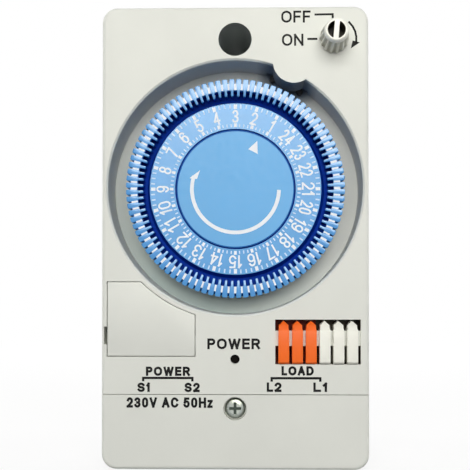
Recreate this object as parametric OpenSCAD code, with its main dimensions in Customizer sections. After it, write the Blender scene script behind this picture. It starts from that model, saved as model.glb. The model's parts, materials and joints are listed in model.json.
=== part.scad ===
// Day time switch: a motor-driven pin dial behind a round well, a rotary switch knob,
// a terminal chamber with its own cover, and a rack of spare setting pins.
// Lengths are in millimetres. Modules are drawn with x to the right, y up and z out of
// the front; upright() then stands them so that the front faces -Y and +Z is up.
// The origin is the middle of the back face, which goes against the wall.

/* [Case] */
// Width of the case
case_w = 60; // [60:0.5:66]
// Height of the case
case_h = 104; // [104:0.5:114]
// Depth from the wall to the front face
case_d = 48; // [47:0.5:56]
// Thickness of the side walls
case_wall = 1.5; // [1.2:0.1:1.7]
// Thickness of the front skin
front_skin = 1.8; // [1.5:0.1:2.1]
// Radius of the four corners seen from the front
corner_r = 3.4; // [2.6:0.1:4.4]
// Rounding of the front edges
edge_r = 0.8; // [0.4:0.1:1]
// Thickness of the back plate
back_t = 2.5; // [2:0.1:3]
// Height of the wall of the back half
back_h = 10; // [8:0.5:11]
// Height of the tongue that locates the front half
tongue_h = 2; // [1:0.25:3]
// Thickness of that tongue
tongue_t = 1.1; // [0.8:0.1:1.4]
// Clearance between parts that are only put together
fit_gap = 0.15; // [0.1:0.05:0.2]
// Radial clearance of turning shafts
run_gap = 0.04; // [0.02:0.01:0.06]

/* [Mounting holes] */
// Radius of the screwdriver tube at the top
tube_r = 3.75; // [3.5:0.05:3.9]
// Wall of that tube
tube_wall = 1.2; // [0.9:0.1:1.5]
// Distance of the upper mounting hole from the top edge
tube_drop = 7.35; // [6.9:0.05:7.5]
// Radius of both mounting holes in the back plate
mount_r = 2.25; // [2:0.05:2.4]
// Distance of the lower mounting hole from the bottom edge
mount_lift = 6; // [5.8:0.1:6.4]

/* [Dial well] */
// Distance of the well rim from the top edge
well_top = 12; // [11.8:0.1:12.6]
// Distance of the well rim above the seam
well_low = 17.8; // [17.6:0.1:19]
// Land between the well and the side of the case
well_land = 1.3; // [1.3:0.1:1.8]
// Wall of the well
well_wall = 1.2; // [1:0.05:1.25]
// Depth of the well below the face
well_depth = 11.8; // [11.4:0.1:12.4]
// Thickness of the well floor
floor_t = 1.6; // [1.3:0.1:1.9]
// Chamfer of the well rim
rim_chamfer = 0.4; // [0.2:0.1:0.6]
// Clearance of the dial sleeve in the floor
sleeve_gap = 0.6; // [0.3:0.1:1]

/* [Dial] */
// Gap between the ribbed ring and the wall of the well
dial_gap = 3.8; // [3.4:0.1:4.4]
// Width of the ribbed ring
ring_w = 3.9; // [3.6:0.1:4.2]
// Length of the rib tips outside the web
tip_l = 1; // [0.8:0.05:1.1]
// Width of a rib tip
tip_w = 0.95; // [0.8:0.05:1.05]
// Chamfer of the rib tips
tip_chamfer = 0.28; // [0.2:0.02:0.34]
// Width of the web that joins the ribs
web_w = 1.6; // [1.4:0.1:1.7]
// Number of ribs, one for every quarter of an hour
rib_count = 96; // [48:48:96]
// Width of a rib between two notches
rib_w = 0.8; // [0.6:0.05:0.9]
// Chamfer of the inner rib ends
rib_chamfer = 0.2; // [0.1:0.05:0.25]
// Height of the ribs
rib_h = 4.1; // [3.6:0.1:4.4]
// Depth of the rib tops below the face
ring_sink = 2.4; // [2:0.1:2.8]
// Thickness of the flange under the ribs
flange_t = 3; // [2.4:0.1:3.2]
// Step from the rib ends back to the flange
flange_step = 0.3; // [0.2:0.1:0.6]
// Width of the dark groove inside the ribs
groove_w = 1.4; // [1.2:0.1:1.8]
// Thickness of the scale disc
disc_t = 0.8; // [0.6:0.1:1]
// Depth of the scale disc below the face
disc_sink = 3.8; // [3.6:0.1:4.2]
// Width of the scale disc
band_w = 5.8; // [5.4:0.1:6.4]
// Gap around the fixed pointer disc
pointer_gap = 0.35; // [0.25:0.05:0.4]
// Thickness of the pointer disc
pointer_t = 1; // [0.8:0.1:1.2]
// Radius of the fixed centre post
post_r = 2; // [1.8:0.1:2.4]
// Outer radius of the dial sleeve
sleeve_r = 4.5; // [4:0.1:4.8]

/* [Gear train] */
// Module of the clock gears
gear_m = 0.4; // [0.38:0.01:0.41]
// Thickness of the clock gears
gear_t = 2.4; // [2:0.1:2.6]
// Teeth of the dial gear
dial_teeth = 96; // [92:4:96]
// Teeth of the intermediate pinion
pinion_teeth = 16; // [14:1:16]
// Teeth of the intermediate wheel
wheel_teeth = 48; // [44:1:48]
// Teeth of the motor pinion
motor_teeth = 12; // [12:1:14]
// Room below the well floor for the gears
train_room = 12.6; // [12.4:0.1:13.4]
// Thickness of the movement plate
plate_t = 1.2; // [1:0.1:1.4]
// Radius of the intermediate arbor
arbor_r = 1; // [0.8:0.05:1.1]
// Radius of the motor can
motor_r = 10; // [9:0.25:10.5]
// Height of the motor can
motor_h = 13; // [10:0.5:14]

/* [Switch] */
// Distance of the knob axis from the right side
knob_inset = 7.8; // [7.6:0.05:8]
// Distance of the knob axis from the top
knob_drop = 7.4; // [7.3:0.05:7.6]
// Radius of the knob at its foot
knob_foot_r = 3.25; // [3:0.05:3.6]
// Radius of the knob at its tip
knob_tip_r = 2.65; // [2.5:0.05:2.9]
// Height of the knob above the face
knob_h = 7.8; // [6:0.2:9]
// Number of flutes around the knob
knob_flutes = 14; // [10:1:16]
// Radius of a flute
flute_r = 0.55; // [0.4:0.05:0.6]
// Depth of a flute
flute_d = 0.38; // [0.25:0.01:0.42]
// Radius of the hollow in the knob tip
knob_hollow_r = 1.95; // [1.7:0.05:2]
// Depth of that hollow
knob_hollow_d = 5.2; // [4:0.1:5.4]
// Width of the bar across the knob tip
knob_bar_w = 1.1; // [0.8:0.1:1.4]
// Turn of that bar at rest, clockwise from upright
knob_bar_turn = 5; // [0:1:10]
// Radius of the switch shaft
shaft_r = 1.8; // [1.5:0.1:2]
// Teeth of the two switch gears
switch_teeth = 20; // [18:1:22]
// Radius of the cam across its flats
cam_low_r = 3; // [2.6:0.1:3.2]
// Rise of the cam lobes
cam_rise = 0.8; // [0.6:0.1:1]
// Direction of the trip boss, clockwise from the top
boss_turn = 25.2; // [24.6:0.1:25.8]
// Distance of the boss centre outside the well
boss_out = 2.5; // [2.3:0.1:2.7]
// Radius of the boss that covers the trip star
boss_r = 4.75; // [4.4:0.05:4.9]
// Gap between the trip star arms and the ring
star_gap = 0.6; // [0.4:0.1:1]
// Radius of the trip star shaft
star_shaft_r = 1.5; // [1.2:0.1:1.6]

/* [Backup cell] */
// Inset of the lid from the left side
lid_inset = 1.3; // [1.2:0.05:1.4]
// Width of the lid
lid_w = 19.7; // [18.5:0.1:20]
// Height of the lid
lid_h = 16.6; // [15.8:0.1:16.8]
// Distance of the lid above the seam
lid_lift = 8.6; // [8.3:0.1:8.8]
// Thickness of the lid
lid_t = 1.4; // [1.2:0.1:1.6]
// Ledge that the lid rests on
lid_ledge = 0.9; // [0.7:0.1:1]
// Land between the well and the lid
lid_land = 1.3; // [1.2:0.1:1.6]
// Width of the notch where the lid is pried up
notch_w = 0.75; // [0.6:0.05:0.8]
// Length of that notch
notch_l = 4; // [3.4:0.1:4.6]
// Depth of that notch
notch_d = 5; // [4:0.25:6]
// Depth of the cell pocket below the lid
pocket_h = 4; // [3.9:0.1:4.6]
// Radius of the button cell
cell_r = 5.8; // [5.2:0.1:5.8]
// Height of the button cell
cell_h = 3.05; // [2.6:0.05:3.1]

/* [Setting pins] */
// Width of the pin rack opening
rack_w = 19.1; // [18.7:0.1:19.5]
// Height of the pin rack opening
rack_h = 10; // [9.8:0.1:10.1]
// Inset of the rack from the right side
rack_inset = 1.9; // [1.8:0.1:2.2]
// Distance of the rack above the seam
rack_lift = 6.8; // [6.4:0.1:6.9]
// Height of the bar that the pins straddle
rack_bar_h = 3.4; // [3:0.1:3.6]
// Thickness of that bar
rack_bar_t = 2.4; // [2:0.1:2.8]
// Gap between the rack ends and the outer pins
rack_margin = 0.7; // [0.5:0.05:0.8]
// Width of a pin
pin_w = 2.4; // [2:0.05:2.6]
// How far a pin stands out of the face
pin_proud = 1; // [0.4:0.1:1.6]

/* [Terminals] */
// Height of the terminal cover
cover_h = 16.8; // [16.6:0.1:17]
// Gap at the seam between case and cover
cover_gap = 0.15; // [0.1:0.05:0.2]
// Distance of the cover screw below the seam
screw_drop = 3.15; // [3:0.05:3.4]
// Radius of the counterbore for the cover screw
counterbore_r = 2.6; // [2.5:0.05:2.8]
// Distance of the inner terminals from the middle
term_inner_x = 9.5; // [9.3:0.1:9.8]
// Distance of the outer terminals from the side
term_inset = 10; // [9.8:0.1:10.4]
// Width of a terminal channel
term_w = 7; // [6.6:0.1:7.2]
// Height of the terminal channel floor
term_z = 12; // [11.8:0.1:12.6]
// Height of the barriers above the channel floor
barrier_h = 10; // [8:0.5:11]

/* [Hidden] */
$fn = 64;
half_w = case_w / 2;
half_h = case_h / 2;
skin_z = case_d - front_skin;
seam_y = cover_h - half_h;
well_r = min(half_w - well_land, (case_h - cover_h - well_top - well_low) / 2);
dial_y = half_h - well_top - well_r;
tube_y = half_h - tube_drop;
tube_out_r = tube_r + tube_wall;
tube_low = back_t - 0.6;
mount_y = mount_lift - half_h;
well_out_r = well_r + well_wall;
floor_z = case_d - well_depth;
floor_low = floor_z - floor_t;

ring_r = well_r - dial_gap;
rib_inner_r = ring_r - ring_w;
web_outer_r = ring_r - tip_l;
web_inner_r = web_outer_r - web_w;
disc_r = rib_inner_r - groove_w;
disc_hole_r = disc_r - band_w;
ring_top = case_d - ring_sink;
flange_top = ring_top - rib_h;
flange_low = flange_top - flange_t;
flange_r = ring_r - flange_step;
disc_top = case_d - disc_sink;
plateau_top = disc_top - disc_t;
plateau_foot_r = disc_r + groove_w * 0.57;
pointer_low = disc_top - pointer_t;
pointer_seat = pointer_low - 0.3;
post_top = pointer_low + pointer_t / 2;

dial_gear_top = floor_low - 2.6;
dial_gear_low = dial_gear_top - gear_t;
clutch_t = 0.8;
clutch_low = dial_gear_low - clutch_t;
clip_t = 0.7;
clip_low = clutch_low - clip_t;
sleeve_low = clip_low - 0.6;
post_boss_r = post_r + 3;
post_boss_top = sleeve_low - 0.3;
post_seat = post_boss_top - 12;

plate_z = floor_low - train_room;
plate_top = plate_z + plate_t;
wheel_low = plate_top + 0.8;
wheel_top = wheel_low + gear_t;
gear_overlap = 0.3;
arbor_y = dial_y - gear_m * (dial_teeth + pinion_teeth) / 2;
motor_x = -gear_m * (wheel_teeth + motor_teeth) / 2;
arbor_seat = dial_gear_top + 0.6;
motor_shaft_r = 0.9;
ear_y = motor_r + 2.4;
ear_r = 2.6;
plate_x0 = motor_x - motor_r - 1.4;
plate_y0 = arbor_y - ear_y - ear_r;
plate_y1 = arbor_y + ear_y + ear_r;
pillar_r = 2.2;
pillar_in = pillar_r + 0.8;
pillar_x0 = plate_x0 + pillar_in;
pillar_x1 = gear_m * wheel_teeth / 2 + 1.4;
plate_x1 = pillar_x1 + pillar_in;
pillar_gap = 0.5;
pillar_y = sqrt(pow(motor_r + pillar_r + pillar_gap, 2) - pow(motor_x - pillar_x0, 2));
pillars = [
  for (x = [pillar_x0, pillar_x1]) for (s = [-1, 1]) [x, arbor_y + s * pillar_y]
];

knob_x = half_w - knob_inset;
knob_y = half_h - knob_drop;
knob_low = case_d + 0.3;
knob_top = case_d + knob_h;
knob_cone_low = knob_low + 0.8;
knob_cone_h = knob_top - 0.6 - knob_cone_low;
knob_slope = atan((knob_foot_r - knob_tip_r) / knob_cone_h);
shaft_top = knob_low + 1.6;
star_reach = well_r + boss_out;
star_x = star_reach * sin(boss_turn);
star_y = dial_y + star_reach * cos(boss_turn);
star_r = star_reach - ring_r - star_gap;
star_low = floor_z + 0.4;
star_t = 1.8;
star_top = star_low + star_t;
boss_low = star_top + 0.4;
star_shaft_top = boss_low + 5;
switch_cd = norm([knob_x - star_x, knob_y - star_y]);
switch_m = switch_cd / switch_teeth;
switch_dir = atan2(star_y - knob_y, star_x - knob_x);
switch_gear_top = floor_low - 2;
switch_gear_low = switch_gear_top - gear_t;
block_top = switch_gear_low - 10;
block_x0 = star_x - 5;
block_x1 = half_w - case_wall - tongue_t - 3 * fit_gap;
block_y0 = star_y - 5;
block_y1 = half_h - case_wall - tongue_t - 3 * fit_gap;
shaft_low = block_top - 4;
cam_low = block_top + 4;
cam_t = 3;
blade_t = 0.4;
rivet_t = 0.5;
rivet_r = 1.1;
contact_gap = 0.6;
moving_x = knob_x - cam_low_r - 0.25 - blade_t;
fixed_x = moving_x - contact_gap - 2 * rivet_t - blade_t;
blade_y0 = knob_y - 2.7;
blade_w = 5.4;
blade_low = block_top - 3;
blade_top = cam_low + cam_t + 1.5;
rivet_z = cam_low + cam_t / 2;

lid_x0 = lid_inset - half_w;
lid_y0 = seam_y + lid_lift;
lid_z = case_d - lid_t;
lid_arc_r = well_r + lid_land;
notch_y0 = lid_y0 + 2.6;
pocket_z = lid_z - pocket_h;
pocket_floor_t = 1.2;
contact_t = 0.3;
cell_x = lid_x0 + lid_ledge + cell_r + 1;
cell_y = lid_y0 + lid_ledge + cell_r + 0.8;

rack_x0 = half_w - rack_inset - rack_w;
rack_y0 = seam_y + rack_lift;
rack_z = case_d - 6;
rack_floor_t = 1.2;
rack_bar_y0 = rack_y0 + (rack_h - rack_bar_h) * 0.62;
rack_bar_y1 = rack_bar_y0 + rack_bar_h;
rack_bar_top = case_d - 0.6;
pin_pitch = (rack_w - 2 * rack_margin - pin_w) / 5;
pin_x0 = rack_x0 + rack_margin + pin_w / 2;
pin_y0 = rack_y0 + 0.2;
pin_y1 = rack_y0 + rack_h - 0.3;
pin_low = rack_bar_top - rack_bar_t - 1.2;
pin_front = case_d + pin_proud;

case_boss_r = 2.7;
case_screws_at = [
  [-half_w + 5, half_h - 4.6],
  [half_w - 4.4, dial_y - 24.8],
  [-half_w + 4.4, seam_y + 4.4],
];

led_y = seam_y + 7.9;
led_r = 1.05;
board_z = case_d - 11;
board_t = 1.6;
board_top = board_z + board_t;
board_x0 = case_screws_at[2][0] + case_boss_r + 0.5;
board_x1 = half_w - case_wall - 1;
board_y0 = seam_y + cover_gap / 2 + case_wall + 0.6;
board_y1 = dial_y - well_out_r - 1;

cover_top_y = seam_y - cover_gap / 2;
case_bottom_y = seam_y + cover_gap / 2;
screw_y = seam_y - screw_drop;
head_seat = case_d - 2;
cup_low = head_seat - 1.4;
cup_r = counterbore_r + 1;
screw_boss_r = 2.9;
term_outer_x = half_w - term_inset;
terminal_x = [-term_outer_x, -term_inner_x, term_inner_x, term_outer_x];
board_screw_x = (term_inner_x + term_outer_x) / 2;
board_screws = [for (s = [-1, 1]) [s * board_screw_x, board_y0 + 2.4]];
term_y0 = -half_h + case_wall + tongue_t + 2 * fit_gap;
term_y1 = seam_y - 1.6;
term_block_w = 2 * (term_outer_x + term_w / 2 + 1.5);
term_mid_x = term_inner_x - term_w / 2 - 1.8;
term_screw_y = (term_y0 + term_y1) / 2;
strip_t = 1;
strip_w = 5;
strip_y1 = case_bottom_y + case_wall + 2.4;
washer_w = 5.4;
washer_t = 0.8;
barrier_top = term_z + barrier_h;
entry_w = term_w - 0.4;
lead_r = 0.8;

shell_grey = [0.89, 0.89, 0.86];
navy = [0.03, 0.08, 0.3];
sky = [0.45, 0.68, 0.9];
steel = [0.7, 0.71, 0.72];
brass = [0.8, 0.66, 0.32];
black = [0.1, 0.1, 0.1];
ivory = [0.93, 0.92, 0.87];
orange = [0.95, 0.4, 0.16];

module upright() {
  rotate([90, 0, 0]) children();
}

module disc(x, y, z0, z1, r) {
  translate([x, y, z0]) cylinder(r = r, h = z1 - z0);
}

module box(x0, x1, y0, y1, z0, z1) {
  translate([x0, y0, z0]) cube([x1 - x0, y1 - y0, z1 - z0]);
}

// One eighth-turn steps of the front edge, from the side to the face.
function edge_arc(x) =
  [for (i = [0:4]) [x - edge_r * (1 - cos(22.5 * i)), case_d - edge_r * (1 - sin(22.5 * i))]];
function edge_half(x, low) = concat([[0, low], [x, low]], edge_arc(x), [[0, case_d]]);

// The outside of the case from a given height to the rounded front.
module case_block(low) {
  wx = half_w - corner_r;
  wy = half_h - corner_r;
  for (s = [0, 1]) {
    mirror([s, 0, 0])
      rotate([90, 0, 0]) linear_extrude(2 * wy, center = true) polygon(edge_half(half_w, low));
    mirror([0, s, 0])
      translate([0, wy, 0]) rotate([90, 0, 90])
        linear_extrude(2 * wx, center = true) polygon(edge_half(corner_r, low));
    for (t = [0, 1]) mirror([s, 0, 0]) mirror([0, t, 0])
      translate([wx, wy, 0]) rotate_extrude(angle = 90) polygon(edge_half(corner_r, low));
  }
}

// Rounded rectangle of the case outline, shrunk by a wall.
module outline(inset) {
  r = corner_r - inset;
  wx = half_w - corner_r;
  wy = half_h - corner_r;
  square([2 * (wx + r), 2 * wy], center = true);
  square([2 * wx, 2 * (wy + r)], center = true);
  for (x = [-wx, wx]) for (y = [-wy, wy]) translate([x, y]) circle(r);
}

// Plan of the lid: a rectangle whose upper right is cut by an arc around the dial.
module lid_plan(grow) {
  difference() {
    translate([lid_x0 - grow, lid_y0 - grow]) square([lid_w + 2 * grow, lid_h + 2 * grow]);
    translate([0, dial_y]) circle(lid_arc_r - grow);
  }
}

// Half width of an involute tooth, as an angle, at a given radius.
pressure = 25;
function inv(a) = tan(a) * 180 / PI - a;
function tooth_angle(m, n, r) =
  90 / n * 0.9 + inv(pressure) - inv(acos(min(1, m * n / 2 * cos(pressure) / r)));
function tooth(m, n) = [
  for (k = [0, 0.35, 0.7, 1, 1.3])
    let (r = m * n / 2 - 1.15 * m + 2 * m * k * 0.77)
    [r, tooth_angle(m, n, r)]
];
function polar(r, a) = [r * cos(a), r * sin(a)];
function gear_points(m, n) = [
  for (i = [0:n - 1])
    let (t = tooth(m, n))
    for (p = concat(
      [for (q = t) polar(q[0], 360 / n * i - q[1])],
      [for (j = [len(t) - 1:-1:0]) polar(t[j][0], 360 / n * i + t[j][1])]
    )) p
];

module gear(x, y, z0, z1, m, n, turn, bore) {
  translate([x, y, z0]) difference() {
    rotate([0, 0, turn]) linear_extrude(z1 - z0) polygon(gear_points(m, n));
    translate([0, 0, -1]) cylinder(r = bore, h = z1 - z0 + 2);
  }
}

// Screw along z: head from the seat outwards, shank the other way, with a cross recess.
module screw(x, y, seat, head_r, head_h, shank_r, shank_l, out) {
  translate([x, y, seat]) mirror([0, 0, out < 0 ? 1 : 0]) difference() {
    union() {
      rotate_extrude() polygon([
        [0, 0], [head_r, 0], [head_r, head_h * 0.45], [head_r * 0.85, head_h * 0.8],
        [head_r * 0.55, head_h], [0, head_h],
      ]);
      translate([0, 0, -shank_l]) cylinder(r = shank_r, h = shank_l + head_h / 2);
    }
    for (a = [0, 90]) rotate([0, 0, a])
      translate([-head_r * 0.6, -head_r * 0.14, head_h * 0.45])
        cube([head_r * 1.2, head_r * 0.28, head_h]);
  }
}

// Square insulated lead along a list of points, each turn along one axis.
module lead(points) {
  r = [lead_r, lead_r, lead_r];
  for (i = [0:len(points) - 2]) {
    a = points[i];
    b = points[i + 1];
    low = [for (k = [0:2]) min(a[k], b[k])];
    high = [for (k = [0:2]) max(a[k], b[k])];
    translate(low - r) cube(high - low + 2 * r);
  }
}

module well_cut() {
  disc(0, dial_y, boss_low, case_d + 1, well_r);
  translate([0, dial_y, case_d - rim_chamfer])
    cylinder(r1 = well_r, r2 = well_r + 2 * rim_chamfer, h = 2 * rim_chamfer);
}

module front_case() {
  color(shell_grey) upright() difference() {
    union() {
      difference() {
        case_block(back_h);
        box(-half_w, half_w, -half_h - 1, case_bottom_y, 0, case_d + 1);
        intersection() {
          translate([0, 0, back_h - 1]) linear_extrude(skin_z - back_h + 1) outline(case_wall);
          box(-half_w, half_w, case_bottom_y + case_wall, half_h, 0, case_d);
        }
      }
      disc(0, dial_y, floor_low, skin_z + 0.5, well_out_r);
      disc(star_x, star_y, boss_low, skin_z + 0.5, boss_r);
      disc(0, tube_y, tube_low, skin_z + 0.5, tube_out_r);
      disc(knob_x, knob_y, skin_z - 4, skin_z + 0.5, shaft_r + 2);
      disc(0, arbor_y, arbor_seat, floor_low + 0.5, arbor_r + 1.6);
      translate([0, 0, pocket_z - pocket_floor_t])
        linear_extrude(skin_z + 0.5 - pocket_z + pocket_floor_t) lid_plan(0.2);
      box(
        rack_x0 - 1, half_w - case_wall / 2, rack_y0 - 1, rack_y0 + rack_h + 0.8,
        rack_z - rack_floor_t, skin_z + 0.5
      );
      for (p = case_screws_at) disc(p[0], p[1], back_t + 0.1, skin_z + 0.5, case_boss_r);
      for (p = board_screws) disc(p[0], p[1], board_top, skin_z + 0.5, 2);
      disc(0, screw_y, cup_low - 9, cup_low - 0.1, screw_boss_r);
      box(-1, 1, screw_y, case_bottom_y + 0.5, cup_low - 9, cup_low - 0.1);
    }
    difference() {
      well_cut();
      disc(star_x, star_y, 0, case_d + 2, boss_r);
    }
    disc(0, dial_y, floor_z, boss_low + 0.01, well_r);
    disc(0, dial_y, floor_low - 1, floor_z + 1, sleeve_r + sleeve_gap);
    disc(star_x, star_y, floor_z, boss_low, star_r + 0.4);
    disc(star_x, star_y, floor_low - 1, star_shaft_top + 0.3, star_shaft_r + run_gap);
    disc(star_x, star_y, floor_low - 1, floor_z + 0.5, star_shaft_r + 0.6);
    disc(0, tube_y, 0, case_d + 1, tube_r);
    disc(knob_x, knob_y, skin_z - 5, case_d + 1, shaft_r + run_gap);
    disc(0, arbor_y, arbor_seat - 1, floor_z - 0.7, arbor_r + run_gap);
    disc(
      knob_x, knob_y, switch_gear_low - 0.4, switch_gear_top + 0.4,
      switch_cd / 2 + switch_m + 0.3
    );
    disc(0, led_y, skin_z - 1, case_d + 1, led_r);
    translate([0, 0, lid_z]) linear_extrude(lid_t + 1) lid_plan(fit_gap);
    translate([0, 0, pocket_z]) linear_extrude(pocket_h + 1) lid_plan(-lid_ledge);
    box(
      lid_x0 - notch_w, lid_x0 + 0.1, notch_y0, notch_y0 + notch_l, case_d - notch_d, case_d + 1
    );
    difference() {
      box(rack_x0, rack_x0 + rack_w, rack_y0, rack_y0 + rack_h, rack_z, case_d + 1);
      box(
        rack_x0 - 1, rack_x0 + rack_w + 1, rack_bar_y0, rack_bar_y1,
        rack_bar_top - rack_bar_t, rack_bar_top
      );
    }
    for (p = case_screws_at) disc(p[0], p[1], 0, back_t + 9, 1.3);
    for (p = board_screws) disc(p[0], p[1], board_z, board_top + 4, 0.85);
    disc(0, screw_y, cup_low - 8, case_d, 1.45);
    for (x = terminal_x) box(
      x - strip_w / 2 - 0.3, x + strip_w / 2 + 0.3,
      case_bottom_y - 1, case_bottom_y + case_wall + 1, back_h - 1, term_z + strip_t + 0.3
    );
  }
}

module rear_case() {
  color(shell_grey) upright() difference() {
    union() {
      difference() {
        linear_extrude(back_h) outline(0);
        translate([0, 0, back_t]) linear_extrude(back_h) outline(case_wall);
      }
      difference() {
        translate([0, 0, back_t - 0.2])
          linear_extrude(back_h + tongue_h - back_t + 0.2) outline(case_wall + fit_gap);
        translate([0, 0, back_t - 1])
          linear_extrude(case_d) outline(case_wall + fit_gap + tongue_t);
        for (p = case_screws_at) disc(p[0], p[1], back_t, case_d, case_boss_r + fit_gap);
        disc(0, tube_y, back_t, case_d, tube_out_r + fit_gap);
        box(-half_w, half_w, case_bottom_y - 1, case_bottom_y + case_wall + 1, back_h, case_d);
        for (x = terminal_x) box(
          x - entry_w / 2, x + entry_w / 2, -half_h, term_y0, back_h, case_d
        );
      }
      disc(0, dial_y, back_t - 0.2, post_boss_top, post_boss_r);
      for (p = pillars) disc(p[0], p[1], back_t - 0.2, plate_z, pillar_r);
    }
    disc(0, dial_y, post_seat, case_d, post_r + 0.02);
    disc(0, tube_y, -1, back_t + 1, mount_r);
    difference() {
      disc(0, tube_y, tube_low - 0.1, case_d, tube_out_r + fit_gap);
      disc(0, tube_y, 0, back_t, tube_r - fit_gap);
    }
    disc(0, mount_y, -1, back_t + 1, mount_r);
    for (p = case_screws_at) {
      disc(p[0], p[1], -1, 1.2, 2.7);
      disc(p[0], p[1], -1, back_t + 1, 1.45);
    }
    for (p = pillars) disc(p[0], p[1], plate_z - 5, plate_z + 1, 0.9);
  }
}

module case_screws() {
  color(steel) upright()
    for (p = case_screws_at) screw(p[0], p[1], 1.2, 2.4, 1, 1.25, 9, -1);
}

module terminal_cover() {
  color(shell_grey) upright() difference() {
    union() {
      difference() {
        case_block(back_h);
        box(-half_w, half_w, cover_top_y, half_h + 1, 0, case_d + 1);
        translate([0, 0, back_h - 1]) linear_extrude(skin_z - back_h + 1) outline(case_wall);
      }
      disc(0, screw_y, cup_low, skin_z + 0.5, cup_r);
    }
    box(-half_w, half_w, cover_top_y, half_h, 0, case_d + 1);
    disc(0, screw_y, head_seat, case_d + 1, counterbore_r);
    disc(0, screw_y, cup_low - 1, case_d, 1.6);
    for (x = terminal_x) box(
      x - entry_w / 2, x + entry_w / 2, -half_h - 1, -half_h + case_wall + 1,
      back_h - 1, barrier_top
    );
  }
}

module cover_screw() {
  color(steel) upright() screw(0, screw_y, head_seat, 2.3, 1.6, 1.4, 9, 1);
}

module battery_lid() {
  color(shell_grey) upright() {
    translate([0, 0, lid_z]) linear_extrude(lid_t) lid_plan(0);
    for (y = [lid_y0 + lid_ledge + fit_gap, lid_y0 + lid_h - lid_ledge - fit_gap - 1])
      box(lid_x0 + 2, lid_x0 + 5.5, y, y + 1, lid_z - 2, lid_z + 0.2);
  }
}

module backup_cell() {
  color(steel) upright() {
    disc(cell_x, cell_y, pocket_z + contact_t, pocket_z + contact_t + 0.6, cell_r - 0.8);
    disc(cell_x, cell_y, pocket_z + contact_t + 0.6, pocket_z + contact_t + cell_h, cell_r);
  }
}

module cell_contacts() {
  color(brass) upright() {
    box(cell_x - 1.5, cell_x + 1.5, cell_y - 4, cell_y + 4, pocket_z, pocket_z + contact_t);
    box(
      cell_x + cell_r + 0.1, cell_x + cell_r + 0.1 + contact_t, cell_y - 3, cell_y + 2,
      pocket_z, pocket_z + cell_h
    );
  }
}

// Closed outline round the ring: every rib leaves the web and ends in a chamfered tip.
function rib_ends(web_r, end_r, w, c) =
  let (half = w / 2, neck = end_r + c * sign(web_r - end_r))
  [for (i = [0:rib_count - 1]) let (a = 360 * (i + 0.5) / rib_count) for (p = [
    [web_r, -half], [neck, -half], [end_r, c - half],
    [end_r, half - c], [neck, half], [web_r, half],
  ]) [p[0] * cos(a) - p[1] * sin(a), p[0] * sin(a) + p[1] * cos(a)]];

module dial_ring() {
  color(sky) upright() translate([0, dial_y, flange_top]) linear_extrude(rib_h) difference() {
    polygon(rib_ends(web_outer_r, ring_r, tip_w, tip_chamfer));
    polygon(rib_ends(web_inner_r, rib_inner_r, rib_w, rib_chamfer));
  }
}

module scale_disc() {
  color(sky) upright() difference() {
    disc(0, dial_y, plateau_top, disc_top, disc_r);
    disc(0, dial_y, 0, case_d, disc_hole_r);
  }
}

module dial_hub() {
  color(navy) upright() translate([0, dial_y, 0]) difference() {
    rotate_extrude() polygon([
      [post_r + run_gap, sleeve_low], [sleeve_r, sleeve_low], [sleeve_r, flange_low],
      [flange_r, flange_low], [flange_r, flange_top], [plateau_foot_r, flange_top],
      [disc_r, plateau_top], [disc_hole_r - 0.2, plateau_top],
      [disc_hole_r - 0.2, pointer_seat], [post_r + run_gap, pointer_seat],
    ]);
    translate([0, 0, clip_low - 0.05]) difference() {
      cylinder(r = sleeve_r + 1, h = clip_t + 0.05);
      translate([0, 0, -1]) cylinder(r = sleeve_r - 0.6, h = clip_t + 2);
    }
  }
}

module dial_gear() {
  color(ivory) upright()
    gear(0, dial_y, dial_gear_low, dial_gear_top, gear_m, dial_teeth, -90, sleeve_r + 0.03);
}

module clutch_spring() {
  color(steel) upright() translate([0, dial_y, clutch_low]) rotate_extrude() polygon([
    [sleeve_r + 0.1, 0], [sleeve_r + 1, 0], [sleeve_r + 3.2, clutch_t - 0.3],
    [sleeve_r + 3.2, clutch_t], [sleeve_r + 2.4, clutch_t], [sleeve_r + 0.1, 0.35],
  ]);
}

module retaining_clip() {
  color(steel) upright() translate([0, dial_y, clip_low]) difference() {
    cylinder(r = sleeve_r + 1.5, h = clip_t);
    translate([0, 0, -1]) cylinder(r = sleeve_r - 0.55, h = clip_t + 2);
    translate([-1.5, -sleeve_r - 2, -1]) cube([3, sleeve_r, clip_t + 2]);
  }
}

module pointer_disc() {
  color(sky) upright() difference() {
    disc(0, dial_y, pointer_low, disc_top, disc_hole_r - pointer_gap);
    disc(0, dial_y, 0, post_top, post_r + 0.02);
  }
}

module center_post() {
  color(steel) upright() disc(0, dial_y, post_seat, post_top, post_r);
}

module intermediate_gear() {
  color(ivory) upright() {
    gear(
      0, arbor_y, dial_gear_low - gear_overlap, dial_gear_top + gear_overlap,
      gear_m, pinion_teeth, 90 + 180 / pinion_teeth, arbor_r + 0.02
    );
    gear(0, arbor_y, wheel_low, wheel_top, gear_m, wheel_teeth, 180, arbor_r + 0.02);
    difference() {
      disc(0, arbor_y, wheel_top - 0.2, dial_gear_low, arbor_r + 1.4);
      disc(0, arbor_y, 0, case_d, arbor_r + 0.02);
    }
  }
}

module intermediate_arbor() {
  color(steel) upright() disc(0, arbor_y, plate_z, floor_z - 0.9, arbor_r);
}

module motor() {
  color(steel) upright() difference() {
    union() {
      disc(motor_x, arbor_y, plate_z - motor_h, plate_z, motor_r);
      box(motor_x - ear_r, motor_x + ear_r, arbor_y - ear_y, arbor_y + ear_y, plate_z - 1, plate_z);
      for (s = [-1, 1]) disc(motor_x, arbor_y + s * ear_y, plate_z - 1, plate_z, ear_r);
    }
    disc(motor_x, arbor_y, plate_z - 4, plate_z + 1, motor_shaft_r + run_gap);
    for (s = [-1, 1]) disc(motor_x, arbor_y + s * ear_y, 0, plate_z + 1, 1.05);
  }
}

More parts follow.
